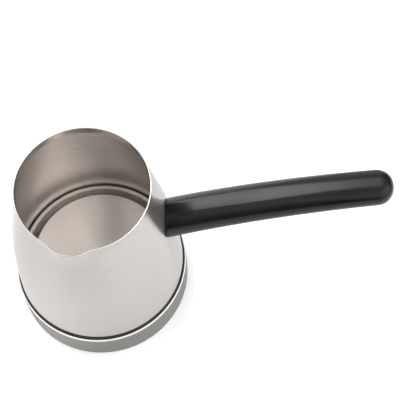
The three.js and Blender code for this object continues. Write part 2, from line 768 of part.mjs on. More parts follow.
// Origin under the middle of the bounding box, on the standing plane
const middle = new THREE.Box3().setFromObject(cezve).getCenter(new THREE.Vector3());
cezve.position.set(-middle.x, -middle.y, 0);

export default cezve;
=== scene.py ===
"""Looks of a cordless electric cezve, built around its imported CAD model.

Metres, +Z up, in the CAD row's frame. Outlines are given in millimetres about the pot's own axis, with
the handle along +X, and are brought into the frame by on_axis().
"""
import math

import bpy
from mathutils import Matrix, Vector


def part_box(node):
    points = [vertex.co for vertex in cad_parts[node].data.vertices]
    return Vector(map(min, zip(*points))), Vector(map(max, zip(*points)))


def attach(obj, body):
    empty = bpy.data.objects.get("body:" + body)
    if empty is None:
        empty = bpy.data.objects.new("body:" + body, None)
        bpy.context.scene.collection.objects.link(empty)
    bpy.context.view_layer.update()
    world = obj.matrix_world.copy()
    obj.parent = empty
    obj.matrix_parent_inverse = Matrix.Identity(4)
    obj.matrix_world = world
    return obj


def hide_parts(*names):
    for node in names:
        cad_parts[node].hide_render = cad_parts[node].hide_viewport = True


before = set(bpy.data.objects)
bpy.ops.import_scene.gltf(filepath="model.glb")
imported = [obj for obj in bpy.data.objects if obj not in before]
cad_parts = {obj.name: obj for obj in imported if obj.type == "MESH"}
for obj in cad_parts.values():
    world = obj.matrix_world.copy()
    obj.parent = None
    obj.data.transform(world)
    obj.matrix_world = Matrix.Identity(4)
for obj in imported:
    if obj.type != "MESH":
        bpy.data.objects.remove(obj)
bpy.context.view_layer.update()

MM = 0.001
GAP = 0.3  # clearance between pieces that touch, mm
SHARP_FROM = math.radians(50)  # edges that bend more than this keep a crisp line
BEVEL_FROM = math.radians(35)  # edges that bend more than this are rounded where a piece asks for it
NEARLY_FLAT = math.radians(168)  # outline corners wider than this stay as they are
CAD_SHARP_FROM = math.radians(32)  # the same as SHARP_FROM, for the carried-over CAD nodes
CAD_WELD = 1e-6  # m

ring_low, ring_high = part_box("base_ring")
pot_low, pot_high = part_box("pot_body")
AXIS_X = (ring_low.x + ring_high.x) / 2  # the pot's axis, m

RING_RADIUS = (ring_high.x - ring_low.x) / 2 / MM
RIM_HEIGHT = pot_high.z / MM
FOOT_HEIGHT = pot_low.z / MM
FOOT_RADIUS = (pot_high.x - pot_low.x) / 2 / MM
WALL = 0.7
WALL_SEGMENTS = 320
RIM_ROUNDING = 0.33
COLLAR_HEIGHT = 4.3  # the rolled band under the rim
RIM_RADIUS = 31.4
WALL_CURVE = [
    (FOOT_RADIUS, FOOT_HEIGHT),
    (43.9, 48.3),
    (40.75, 71.0),
    (36.05, 93.6),
    (RIM_RADIUS + 0.1, RIM_HEIGHT - COLLAR_HEIGHT),
]

SPOUT_ANGLE = math.radians(-99)
SPOUT_DEPTH = 15
SPOUT_BEAK = 2.4
SPOUT_BEAK_WIDTH = math.radians(14)
SPOUT_BLUNTNESS = 4  # 2 is a bell curve; more is flatter in the middle and steeper at the sides

PLATE_TOP = 29.5
PLATE_FLANGE = 26.8
PLATE_SHEET = 0.8

LIP_FROM = 22.5  # the base ring's turned lip, lighter as a painted highlight, starts at this height
STUD_CIRCLE = 33.2
STUD_ANGLES = [math.radians(a) for a in (60, 180, 300)]
STUD_BOSS = 4.0  # radii of the cover's bosses, screw holes and screw recesses
STUD_HOLE = 1.8
STUD_RECESS = 3.3
CONNECTOR_SCREW_CIRCLE = 16.8
CONNECTOR_SCREW_ANGLES = [math.radians(a) for a in (25, 205)]
CONNECTOR_SCREW_PILOT = 1.1
CONNECTOR_SCREW_HOLE = 1.4
SCREW_SLOT_WIDTH = 0.8
SCREW_SLOT_LENGTH = 3.4

HANDLE_START = (40.4, 82.8)  # where the centreline meets the pot
HANDLE_LENGTH = 99.6
HANDLE_TIP = 7.95
HANDLE_START_SLOPE = math.radians(27.3)
HANDLE_END_SLOPE = math.radians(13.0)
HANDLE_ROOT = {"half_width": 10.2, "flat": 3.0, "top": 8.6, "bottom": 6.6}
HANDLE_END = {"half_width": 8.5, "flat": 4.8, "top": 6.0, "bottom": 6.3}
HANDLE_CROWN = 0.25  # rise of the top between its creases
HANDLE_RING_STEP = 3.0
FLANK_FULLNESS = 0.62  # how square the sections are above and below their widest points
BELLY_FULLNESS = 0.55
ROOT_ROUNDING = 0.45  # of the edge where the handle meets the pot
ROOT_BLEND = 6  # past the root, the handle's rings are square to it
ROOT_SEARCH = (-30.0, 25.0)  # where along the handle its skin may leave the pot
END_TURNS = range(0, 90, 5)  # degrees round the end, one for each ring
TANG_LENGTH = 38
TANG_BURIED = 5
TANG_HALF_WIDTH = 5.5
TANG_THICKNESS = 2.5
TANG_SCREW_AT = 24  # along the tang, from the wall
TANG_SCREW_HOLE = 1.9
TANG_SCREW_RECESS = 3.3
TANG_SCREW_SEAT = -4.6  # below the tang's middle
SADDLE_SHEET = 1.2
SADDLE_HALF_WIDTH = 6
SADDLE_BOTTOM = 79
SADDLE_TOP = 86.5
CREASE_ROOT = 0.5  # half width of the rounding of a crease, at the root and at the end
CREASE_END = 3.0
CREASE_SOFTENS = (35, 100)  # distances along the handle between which the crease softens

FLOOR_REACH = 4.0  # m
FLOOR_DROP = 0.00002  # m, so that the floor doesn't share a plane with the base
FLOOR_GLOW = 0.16  # light through the white floor from below
SKY_LEVEL = 0.62
SOFTBOXES = [  # azimuth from the handle, elevation, inner and outer radius (degrees), strength
    ((-30, 46), (14, 50), 1.4),
    ((120, 50), (8, 40), 0.5),
    ((148, 36), (4, 13), 4.0),
    ((141, 46), (5, 14), 3.2),
    ((132, 56), (4, 13), 4.5),
    ((128, 24), (4, 10), 9.0),
    ((-150, 50), (6, 30), 0.6),
    ((-110, 45), (6, 26), 0.35),
    ((113, 62), (4, 14), 2.3),
    ((5, 68), (6, 20), 0.7),
    ((90, 12), (5, 30), 0.7),
]
SKY_SHADES = [  # the same, with the share taken away
    ((45, 25), (10, 45), 0.6),
    ((-100, 10), (10, 38), 0.75),
    ((180, 5), (10, 40), 0.5),
]

SENSOR_WIDTH = 36
CAMERA_LENS = 64.02
CAMERA_PLACE = (-0.003175, -0.140798, 0.407240)
CAMERA_TURN = (24.831, -1.7186, -0.5469)  # degrees about X, Y and Z
CAMERA_NEAR = 0.01


# ---------------------------------------------------------------- geometry

def on_axis(x, y, z):
    """A point in mm about the pot's axis, in the frame's metres."""
    return Vector((AXIS_X + x * MM, y * MM, z * MM))


def lerp(a, b, t):
    return a + (b - a) * t


def smoothstep(x, low, high):
    t = min(1, max(0, (x - low) / (high - low)))
    return t * t * (3 - 2 * t)


def spline(points, steps):
    """Catmull-Rom curve through points, with that many steps between neighbours."""
    made = []
    last = len(points) - 1
    for i in range(last):
        p0, p1, p2, p3 = (Vector(points[min(last, max(0, i + k))]) for k in (-1, 0, 1, 2))
        for step in range(steps):
            t = step / steps
            v0, v1 = (p2 - p0) / 2, (p3 - p1) / 2
            cubic = 2 * (p1 - p2) + v0 + v1
            square = 3 * (p2 - p1) - 2 * v0 - v1
            made.append(cubic * t**3 + square * t**2 + v0 * t + p1)
    made.append(Vector(points[-1]))
    return made


def filleted(outline, radius, steps=3):
    """The closed outline with its corners rounded, apart from those on the axis and the nearly flat."""
    points = [Vector(p) for p in outline]
    made = []
    for i, point in enumerate(points):
        if point.x == 0:
            made.append(point)
            continue
        before = points[i - 1] - point
        after = points[(i + 1) % len(points)] - point
        angle = before.angle(after)
        if angle > NEARLY_FLAT:
            made.append(point)
            continue
        reach = min(radius / math.tan(angle / 2), 0.45 * before.length, 0.45 * after.length)
        start = point + before.normalized() * reach
        end = point + after.normalized() * reach
        for step in range(steps + 1):
            t = step / steps
            made.append(start * (1 - t) ** 2 + point * 2 * t * (1 - t) + end * t**2)
    return made


def new_piece(name, vertices, faces, materials):
    """A smooth mesh piece in the frame. Vertices are in mm about the pot's axis."""
    mesh = bpy.data.meshes.new(name)
    mesh.from_pydata([on_axis(*v) for v in vertices], [], faces)
    mesh.validate()
    piece = bpy.data.objects.new(name, mesh)
    bpy.context.scene.collection.objects.link(piece)
    for material in materials:
        mesh.materials.append(material)
    return piece


def turned(name, outline, segments, materials, closed=True, centre=(0, 0), press=None):
    """Turns an outline of (radius, height) about an upright axis at centre."""
    vertices, rings = [], []
    for r, z in outline:
        count = 1 if r == 0 else segments
        rings.append(range(len(vertices), len(vertices) + count))
        for i in range(count):
            angle = 2 * math.pi * i / segments
            point = (centre[0] + r * math.cos(angle), centre[1] + r * math.sin(angle), z)
            vertices.append(press(point) if press else point)
    faces = []
    pairs = list(zip(rings, rings[1:] + rings[:1] if closed else rings[1:]))
    for low, high in pairs:
        for i in range(segments):
            j = (i + 1) % segments
            corners = [low[i % len(low)], low[j % len(low)], high[j % len(high)], high[i % len(high)]]
            corners = list(dict.fromkeys(corners))
            if len(corners) > 2:
                faces.append(corners)
    return new_piece(name, vertices, faces, materials)


def box_piece(size, centre, material):
    """A block, for cutting and joining."""
    corners = [
        tuple(centre[k] + size[k] / 2 * sign[k] for k in range(3))
        for sign in [(x, y, z) for z in (-1, 1) for y in (-1, 1) for x in (-1, 1)]
    ]
    faces = [(0, 2, 3, 1), (4, 5, 7, 6), (0, 1, 5, 4), (2, 6, 7, 3), (0, 4, 6, 2), (1, 3, 7, 5)]
    return new_piece("tool", corners, faces, [material])


def turn_about_axis(piece, degrees):
    turn = Matrix.Rotation(math.radians(degrees), 4, "Z")
    middle = Matrix.Translation(on_axis(0, 0, 0))
    piece.data.transform(middle @ turn @ middle.inverted())


def combine(piece, others, operation="DIFFERENCE"):
    """Cuts the others out of piece, joins them to it or keeps what they share, and removes them."""
    for other in others:
        modifier = piece.modifiers.new("combine", "BOOLEAN")
        modifier.operation = operation
        modifier.solver = "EXACT"
        modifier.object = other
    bake_modifiers(piece)
    for other in others:
        bpy.data.objects.remove(other)
    return piece


def bake_modifiers(piece):
    """Makes the piece's modifiers part of its mesh."""
    bpy.context.view_layer.update()
    graph = bpy.context.evaluated_depsgraph_get()
    mesh = bpy.data.meshes.new_from_object(piece.evaluated_get(graph))
    piece.modifiers.clear()
    piece.data = mesh


def finish_piece(piece, replaced, bevel=0, body="pot"):
    """Rounds edges, shades the piece smooth, and puts it in the place of its CAD node."""
    if bevel:
        modifier = piece.modifiers.new("edges", "BEVEL")
        modifier.width = bevel * MM
        modifier.segments = 2
        modifier.limit_method = "ANGLE"
        modifier.angle_limit = BEVEL_FROM
        modifier.harden_normals = False
        modifier.use_clamp_overlap = True
        bake_modifiers(piece)
    for polygon in piece.data.polygons:
        polygon.use_smooth = True
    piece.data.set_sharp_from_angle(angle=SHARP_FROM)
    normals = piece.modifiers.new("normals", "WEIGHTED_NORMAL")
    normals.keep_sharp = True
    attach(piece, body)
    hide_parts(replaced)
    return piece


# ---------------------------------------------------------------- materials

class Surface:
    """One procedural material around a Principled shader."""

    def __init__(self, name, **constants):
        self.material = bpy.data.materials.new(name)
        self.material.use_nodes = True
        self.tree = self.material.node_tree
        self.tree.nodes.clear()
        self.shader = self.node("ShaderNodeBsdfPrincipled")
        output = self.node("ShaderNodeOutputMaterial")
        self.tree.links.new(self.shader.outputs[0], output.inputs["Surface"])
        self.set(**{key.replace("_", " "): value for key, value in constants.items()})
        place = self.node("ShaderNodeTexCoord").outputs["Object"]
        self.place = self.vector("SUBTRACT", place, (AXIS_X, 0, 0))
        x, y, z = self.node("ShaderNodeSeparateXYZ", Vector=self.place).outputs
        self.x, self.y, self.z = x, y, z

    def set(self, **inputs):
        for key, value in inputs.items():
            self.plug(self.shader.inputs[key], value)

    def plug(self, socket, value):
        if isinstance(value, bpy.types.NodeSocket):
            self.tree.links.new(value, socket)
        elif isinstance(value, tuple) and len(value) == 3 and socket.type == "RGBA":
            socket.default_value = (*value, 1)
        else:
            socket.default_value = value

    def node(self, kind, settings=None, **inputs):
        made = self.tree.nodes.new(kind)
        for key, value in (settings or {}).items():
            setattr(made, key, value)
        for key, value in inputs.items():
            self.plug(made.inputs[key.replace("_", " ")], value)
        return made

    def math(self, operation, a, b=0.0):
        made = self.node("ShaderNodeMath", {"operation": operation})
        self.plug(made.inputs[0], a)
        self.plug(made.inputs[1], b)
        return made.outputs[0]

    def vector(self, operation, a, b):
        made = self.node("ShaderNodeVectorMath", {"operation": operation})
        self.plug(made.inputs[0], a)
        self.plug(made.inputs[1], b)
        return made.outputs[0]

    def radius(self):
        """Distance from the pot's axis."""
        return self.math("SQRT", self.math("ADD", self.math("MULTIPLY", self.x, self.x),
                                           self.math("MULTIPLY", self.y, self.y)))

    def noise(self, place, scale=1.0, detail=4.0, roughness=0.55, distortion=0.0):
        return self.node("ShaderNodeTexNoise", Vector=place, Scale=scale, Detail=detail,
                         Roughness=roughness, Distortion=distortion).outputs["Fac"]

    def ramp(self, value, low, high, to_low=0.0, to_high=1.0):
        """Maps low..high to to_low..to_high, and stays inside them."""
        return self.node("ShaderNodeMapRange", Value=value, From_Min=low, From_Max=high,
                         To_Min=to_low, To_Max=to_high).outputs[0]

    def mix(self, share, a, b):
        made = self.node("ShaderNodeMix", {"data_type": "RGBA"})
        self.plug(made.inputs[0], share)
        self.plug(made.inputs[6], a)
        self.plug(made.inputs[7], b)
        return made.outputs[2]

    def bump(self, height, strength, depth):
        """Relief from a height of 0..1; depth is in mm."""
        return self.node("ShaderNodeBump", Height=height, Strength=strength, Distance=depth * MM).outputs[0]

    def along(self, across, around, up):
        """Coordinates for noise, stretched: features are 1/around mm long round the axis, and 1/up mm
        high, or 1/across mm wide where across is given."""
        return self.node(
            "ShaderNodeCombineXYZ",
            X=self.math("MULTIPLY", self.x, around / MM),
            Y=self.math("MULTIPLY", self.y, around / MM),
            Z=self.math("MULTIPLY", self.z, up / MM) if across is None else
            self.math("MULTIPLY", self.radius(), across / MM),
        ).outputs[0]

    def round_tangent(self):
        """Brushing runs round the pot's axis."""
        tangent = self.node("ShaderNodeTangent", {"direction_type": "RADIAL", "axis": "Z"})
        self.set(Tangent=tangent.outputs[0])


def brushed_steel(name, light, dark, rough_low, rough_high, anisotropic):
    """Stainless sheet brushed round the pot: fine level lines over a slow change of tone."""
    s = Surface(name, Metallic=1.0, Anisotropic=anisotropic, Anisotropic_Rotation=0.25)
    s.round_tangent()
    fine = s.noise(s.along(None, 0.05, 3.2), detail=5, roughness=0.65)
    broad = s.noise(s.along(None, 0.02, 0.35), detail=3)
    smudge = s.noise(s.place, scale=38, detail=3, roughness=0.5)
    tone = s.math("ADD", s.math("MULTIPLY", fine, 0.65), s.math("MULTIPLY", broad, 0.35))
    s.set(**{"Base Color": s.mix(s.ramp(tone, 0.3, 0.7), dark, light)})
    greasy = s.ramp(smudge, 0.35, 0.7, 0, 0.03)
    s.set(Roughness=s.math("ADD", s.ramp(fine, 0.3, 0.7, rough_low, rough_high), greasy))
    s.set(Normal=s.bump(fine, 0.2, 0.002))
    return s.material


def turned_steel(name, light, dark, rough_low, rough_high, anisotropic):
    """Steel disc finished on a lathe: fine rings about the axis."""
    s = Surface(name, Metallic=1.0, Anisotropic=anisotropic, Anisotropic_Rotation=0.25)
    s.round_tangent()
    rings = s.noise(s.along(3.6, 0.02, None), detail=5, roughness=0.7)
    stain = s.noise(s.place, scale=30, detail=2, roughness=0.4)
    tone = s.math("ADD", s.math("MULTIPLY", rings, 0.6), s.math("MULTIPLY", stain, 0.4))
    s.set(**{"Base Color": s.mix(s.ramp(tone, 0.3, 0.7), dark, light)})
    worn = s.ramp(stain, 0.4, 0.7, 0, 0.03)
    s.set(Roughness=s.math("ADD", s.ramp(rings, 0.3, 0.7, rough_low, rough_high), worn))
    s.set(Normal=s.bump(rings, 0.06, 0.001))
    return s.material


def plated_metal(name, light, dark, rough, grain=900, tint=(0.5, 0.5, 0.5), tint_share=0.0):
    """Plated or rolled small parts: fine grain, faint tarnish in patches."""
    s = Surface(name, Metallic=1.0)
    fine = s.noise(s.place, scale=grain, detail=4)
    patch = s.noise(s.place, scale=grain / 9, detail=3, distortion=0.6)
    base = s.mix(s.ramp(fine, 0.35, 0.65), dark, light)
    s.set(**{"Base Color": s.mix(s.ramp(patch, 0.45, 0.7, 0, tint_share), base, tint)})
    s.set(Roughness=s.ramp(s.math("ADD", fine, patch), 0.7, 1.3, rough * 0.75, rough * 1.3))
    s.set(Normal=s.bump(fine, 0.3, 0.02))
    return s.material


def moulded_plastic(name, light, dark, rough_low, rough_high, texture, depth, ior=1.5):
    """Black moulded plastic: fine spark-eroded texture, a little dust in the tone, handling marks."""
    s = Surface(name, IOR=ior)
    grain = s.noise(s.place, scale=texture, detail=3, roughness=0.6)
    marks = s.noise(s.place, scale=55, detail=4, roughness=0.6, distortion=0.3)
    s.set(**{"Base Color": s.mix(s.ramp(marks, 0.35, 0.7), dark, light)})
    eroded = s.ramp(grain, 0.4, 0.6, 0, 0.04)
    s.set(Roughness=s.math("ADD", s.ramp(marks, 0.35, 0.7, rough_low, rough_high), eroded))
    s.set(Normal=s.bump(grain, 0.25, depth))
    return s.material


def insulation(name, light, dark):
    """Silicone lead insulation: satin, with talc in the low spots."""
    s = Surface(name, IOR=1.42, Sheen_Weight=0.15)
    powder = s.noise(s.place, scale=700, detail=4)
    print_through = s.noise(s.place, scale=160, detail=2)
    s.set(**{"Base Color": s.mix(s.ramp(powder, 0.35, 0.7), dark, light)})
    s.set(Roughness=s.ramp(print_through, 0.3, 0.7, 0.42, 0.6), Normal=s.bump(powder, 0.3, 0.03))
    return s.material


def ceramic(name):
    """Unglazed steatite: off-white, fine pores and a few grey specks."""
    s = Surface(name, IOR=1.6)
    pores = s.noise(s.place, scale=2600, detail=3)
    specks = s.noise(s.place, scale=900, detail=1)
    base = s.mix(s.ramp(pores, 0.35, 0.6), (0.72, 0.69, 0.63), (0.86, 0.84, 0.79))
    s.set(**{"Base Color": s.mix(s.ramp(specks, 0.7, 0.76, 0, 0.5), base, (0.3, 0.28, 0.26))})
    s.set(Roughness=s.ramp(pores, 0.3, 0.7, 0.5, 0.72), Normal=s.bump(pores, 0.4, 0.03))
    return s.material


def woven_sleeve(name):
    """Woven glass sleeve over the fuse: two crossing sets of threads."""
    s = Surface(name, Sheen_Weight=0.3, IOR=1.45)
    around = s.math("MULTIPLY", s.math("ARCTAN2", s.z, s.x), 40)
    length = s.math("MULTIPLY", s.y, 6000)
    warp = s.math("SINE", s.math("ADD", length, around))
    weft = s.math("SINE", s.math("SUBTRACT", length, around))
    weave = s.math("MAXIMUM", warp, weft)
    s.set(**{"Base Color": s.mix(s.ramp(weave, -0.2, 1), (0.55, 0.53, 0.48), (0.88, 0.87, 0.82))})
    s.set(Roughness=s.ramp(weave, -1, 1, 0.85, 0.6), Normal=s.bump(weave, 0.6, 0.08))
    return s.material


def heated_sheath(name):
    """Element sheath: dull steel with straw and blue heat tints."""
    s = Surface(name, Metallic=1.0)
    oxide = s.noise(s.place, scale=70, detail=4, distortion=0.8)
    grain = s.noise(s.place, scale=1500, detail=3)
    tint = s.mix(s.ramp(oxide, 0.35, 0.5), (0.42, 0.40, 0.39), (0.52, 0.42, 0.27))
    s.set(**{"Base Color": s.mix(s.ramp(oxide, 0.52, 0.68), tint, (0.24, 0.27, 0.38))})
    s.set(Roughness=s.ramp(grain, 0.3, 0.7, 0.38, 0.55), Normal=s.bump(grain, 0.3, 0.02))
    return s.material


def rubber(name):
    """Black silicone seal: matt, with moulding lines and a trace of dust."""
    s = Surface(name, IOR=1.45, Sheen_Weight=0.1)
    dust = s.noise(s.place, scale=420, detail=4)
    flow = s.noise(s.along(None, 0.03, 1.2), detail=3)
    s.set(**{"Base Color": s.mix(s.ramp(dust, 0.45, 0.75), (0.006, 0.006, 0.006), (0.018, 0.018, 0.018))})
    s.set(Roughness=s.ramp(flow, 0.3, 0.7, 0.62, 0.8), Normal=s.bump(flow, 0.3, 0.03))
    return s.material


FINISHES = {
    "brushed_steel": brushed_steel("steel_outside", (0.517, 0.499, 0.479), (0.492, 0.474, 0.454),
                                   0.27, 0.31, 1.0),
    "plate_steel": turned_steel("steel_plate", (0.63, 0.602, 0.573), (0.605, 0.578, 0.55), 0.22, 0.27, 0.8),
    "zinc_steel": plated_metal("zinc_plate", (0.68, 0.69, 0.71), (0.52, 0.53, 0.55), 0.36,
                               tint=(0.55, 0.52, 0.44), tint_share=0.35),
    "aluminium": plated_metal("mill_aluminium", (0.78, 0.79, 0.80), (0.64, 0.65, 0.66), 0.42, grain=1400),
    "bimetal": plated_metal("bimetal_strip", (0.58, 0.55, 0.50), (0.44, 0.41, 0.37), 0.38,
                            tint=(0.42, 0.33, 0.26), tint_share=0.3),
    "brass": plated_metal("contact_brass", (0.83, 0.65, 0.34), (0.68, 0.50, 0.24), 0.3,
                          tint=(0.42, 0.27, 0.12), tint_share=0.5),
    "rubber": rubber("seal_rubber"),
    "base_plastic": moulded_plastic("base_plastic", (0.045, 0.045, 0.047), (0.024, 0.024, 0.026),
                                    0.5, 0.62, 1600, 0.05),
    "connector_plastic": moulded_plastic("connector_plastic", (0.06, 0.06, 0.06), (0.035, 0.035, 0.036),
                                         0.42, 0.55, 2200, 0.03),
    "handle_plastic": moulded_plastic("handle_plastic", (0.006, 0.0055, 0.0055), (0.004, 0.0037, 0.0037),
                                      0.19, 0.24, 3000, 0.004, ior=1.36),
    "ceramic": ceramic("steatite"),
    "fuse_sleeve": woven_sleeve("glass_sleeve"),
    "lead_red": insulation("lead_red", (0.50, 0.07, 0.05), (0.36, 0.035, 0.03)),
    "lead_blue": insulation("lead_blue", (0.07, 0.14, 0.44), (0.04, 0.09, 0.33)),
    "lead_green": insulation("lead_green", (0.20, 0.42, 0.10), (0.12, 0.31, 0.06)),
}
# Warmer, lighter copy of the outside steel: painted warm bounce light inside the pot
INSIDE_STEEL_PAINTED_BOUNCE = brushed_steel("steel_inside_painted_bounce", (0.63, 0.58, 0.54), (0.595, 0.545, 0.505), 0.2, 0.26, 0.7)
# Darker copy of the steel: painted shade, for the floor's contact shadow seen in the ring
RING_STEEL_PAINTED_SHADE = brushed_steel("steel_ring_painted_shade", (0.245, 0.235, 0.225), (0.21, 0.202, 0.193), 0.34, 0.4, 0.85)
# Lighter copy of the steel: painted highlight along the lip
LIP_STEEL_PAINTED_HIGHLIGHT = brushed_steel("steel_lip_painted_highlight", (0.74, 0.72, 0.70), (0.70, 0.68, 0.66), 0.16, 0.2, 0.3)
ELEMENT_SHEATH = heated_sheath("element_sheath")


# ---------------------------------------------------------------- pot

def wall_outline():
    """Outside of the wall from foot to rim."""
    cone = [(p.x, p.y) for p in spline(WALL_CURVE, 14)]
    collar = [(RIM_RADIUS + 0.05, RIM_HEIGHT - 2.8), (RIM_RADIUS, RIM_HEIGHT - 1.4)]
    return cone + collar + [(RIM_RADIUS, RIM_HEIGHT)]


WALL_POINTS = wall_outline()


def wall_radius(z):
    """Radius of the wall's outside at a height."""
    for (r0, z0), (r1, z1) in zip(WALL_POINTS, WALL_POINTS[1:]):
        if z <= z1:
            return lerp(r0, r1, (z - z0) / (z1 - z0))
    return WALL_POINTS[-1][0]


def press_spout(point):
    """Moves a point of the wall as the pressed pouring spout does."""
    x, y, z = point
    away = math.atan2(y, x) - SPOUT_ANGLE
    away = math.atan2(math.sin(away), math.cos(away))
    beak = SPOUT_BEAK * math.exp(-((away / SPOUT_BEAK_WIDTH) ** SPOUT_BLUNTNESS))
    push = beak * smoothstep(z, RIM_HEIGHT - SPOUT_DEPTH, RIM_HEIGHT)
    scale = 1 + push / math.hypot(x, y)
    return (x * scale, y * scale, z)


def make_pot_body():
    """One sheet, brushed outside and a smoother steel inside, whose warmer, lighter colour is painted bounce
    light.
    """
    inside = [(r - WALL, z) for r, z in reversed(WALL_POINTS)]
    outline = filleted(WALL_POINTS + inside, RIM_ROUNDING, steps=4)
    steels = [FINISHES["brushed_steel"], INSIDE_STEEL_PAINTED_BOUNCE]
    piece = turned("pot_wall", outline, WALL_SEGMENTS, steels, press=press_spout)
    for polygon in piece.data.polygons:
        outward = (polygon.center.x - AXIS_X) * polygon.normal.x + polygon.center.y * polygon.normal.y
        polygon.material_index = 1 if outward < 0 else 0
    return finish_piece(piece, "pot_body")


def make_heating_plate():
    """Stepped disc: rolled edge, narrow flange, sloping step, flat raised middle."""
    edge = FOOT_RADIUS - WALL - GAP
    under_top, under_flange = PLATE_TOP - PLATE_SHEET, PLATE_FLANGE - PLATE_SHEET
    outline = [
        (0, under_top), (36.4, under_top), (41.0, under_flange), (edge - 1.5, under_flange),
        (edge - 1.1, under_flange - 0.4), (edge, under_flange - 0.4), (edge, under_flange),
        (edge - 0.9, PLATE_FLANGE), (42.2, PLATE_FLANGE), (37.2, PLATE_TOP), (0, PLATE_TOP),
    ]
    outline = filleted(outline, 0.45, steps=4)
    piece = turned("heating_disc", outline, 256, [FINISHES["plate_steel"]], closed=False)
    return finish_piece(piece, "heating_plate")


# ---------------------------------------------------------------- base

def make_base_ring():
    """One folded sheet: rolled lip, flared wall, rolled bottom bead and a short return flange."""
    outline = [
        (45.1, 3.1), (46.4, 3.1), (46.4, 1.0), (47.0, 0.4), (48.3, 0.4), (48.9, 0.8),
        (RING_RADIUS, 1.8), (48.7, 12), (47.9, 22.3), (47.75, 23.3), (47.4, 23.9),
        (47.05, 23.8), (47.05, 23.2), (47.3, 22.2), (48.1, 12), (48.5, 1.8),
        (48.1, 1.0), (47.0, 1.0), (47.0, 3.7), (45.1, 3.7),
    ]
    piece = turned("base_skirt", filleted(outline, 0.4), 288, [RING_STEEL_PAINTED_SHADE, LIP_STEEL_PAINTED_HIGHLIGHT])
    # the lip takes the lighter steel, a painted highlight, and the rest the darker steel, painted shade
    for polygon in piece.data.polygons:
        polygon.material_index = 1 if polygon.center.z > LIP_FROM * MM else 0
    return finish_piece(piece, "base_ring")


def make_seal_ring():
    outline = [
        (44.6, 21.4), (46.9, 21.4), (46.9, 23.0), (46.6, 23.2), (46.6, 25.0), (46.3, 25.3), (44.6, 25.3),
    ]
    piece = turned("seal", filleted(outline, 0.2), 192, [FINISHES["rubber"]])
    return finish_piece(piece, "seal_ring")


def places(circle, angles):
    return [(circle * math.cos(a), circle * math.sin(a)) for a in angles]


def make_base_cover():
    """Moulded underside: a foot rim, a flat with three recessed screws, and a well for the power base."""
    plastic = [FINISHES["base_plastic"]]
    outline = [
        (19.0, 0.9), (41.2, 0.9), (42.0, 0), (45.4, 0), (46.0, 0.6), (46.0, 2.8), (20.6, 2.8),
        (20.6, 12.0), (15.0, 12.0), (15.0, 9.0), (19.0, 9.0),
    ]
    cover = turned("cover", filleted(outline, 0.35), 192, plastic)
    studs = places(STUD_CIRCLE, STUD_ANGLES)

    def drums(radius, bottom, top, centres):
        outline = [(0, bottom), (radius, bottom), (radius, top), (0, top)]
        return [turned("tool", outline, 48, plastic, closed=False, centre=c) for c in centres]

    combine(cover, drums(STUD_BOSS, 2.0, 5.7, studs), "UNION")
    pilots = places(CONNECTOR_SCREW_CIRCLE, CONNECTOR_SCREW_ANGLES)
    combine(cover, drums(STUD_HOLE, -1, 7, studs) + drums(STUD_RECESS, -1, 3.2, studs)
            + drums(CONNECTOR_SCREW_PILOT, 9.8, 13, pilots))
    return finish_piece(cover, "base_cover", bevel=0.18)


def cross_screw(name, outline, centre, slot_bottom, slot_top):
    """A screw with a cross slot in its lower end."""
    screw = turned(name, filleted(outline, 0.25), 48, [FINISHES["zinc_steel"]],
                   closed=False, centre=centre)
    middle = (*centre, (slot_bottom + slot_top) / 2)
    length, width, depth = SCREW_SLOT_LENGTH, SCREW_SLOT_WIDTH, slot_top - slot_bottom
    return combine(screw, [
        box_piece((length, width, depth), middle, FINISHES["zinc_steel"]),
        box_piece((width, length, depth), middle, FINISHES["zinc_steel"]),
    ])


def make_cover_screws():
    outline = [(0, 1.2), (2.4, 1.2), (2.9, 1.8), (2.9, 2.9), (1.3, 2.9), (1.3, 13.0), (0, 14.0)]
    for i, centre in enumerate(places(STUD_CIRCLE, STUD_ANGLES)):
        screw = cross_screw(f"cover_screw_{i + 1}_turned", outline, centre, 0, 1.9)
        finish_piece(screw, f"cover_screw_{i + 1}", bevel=0.08)


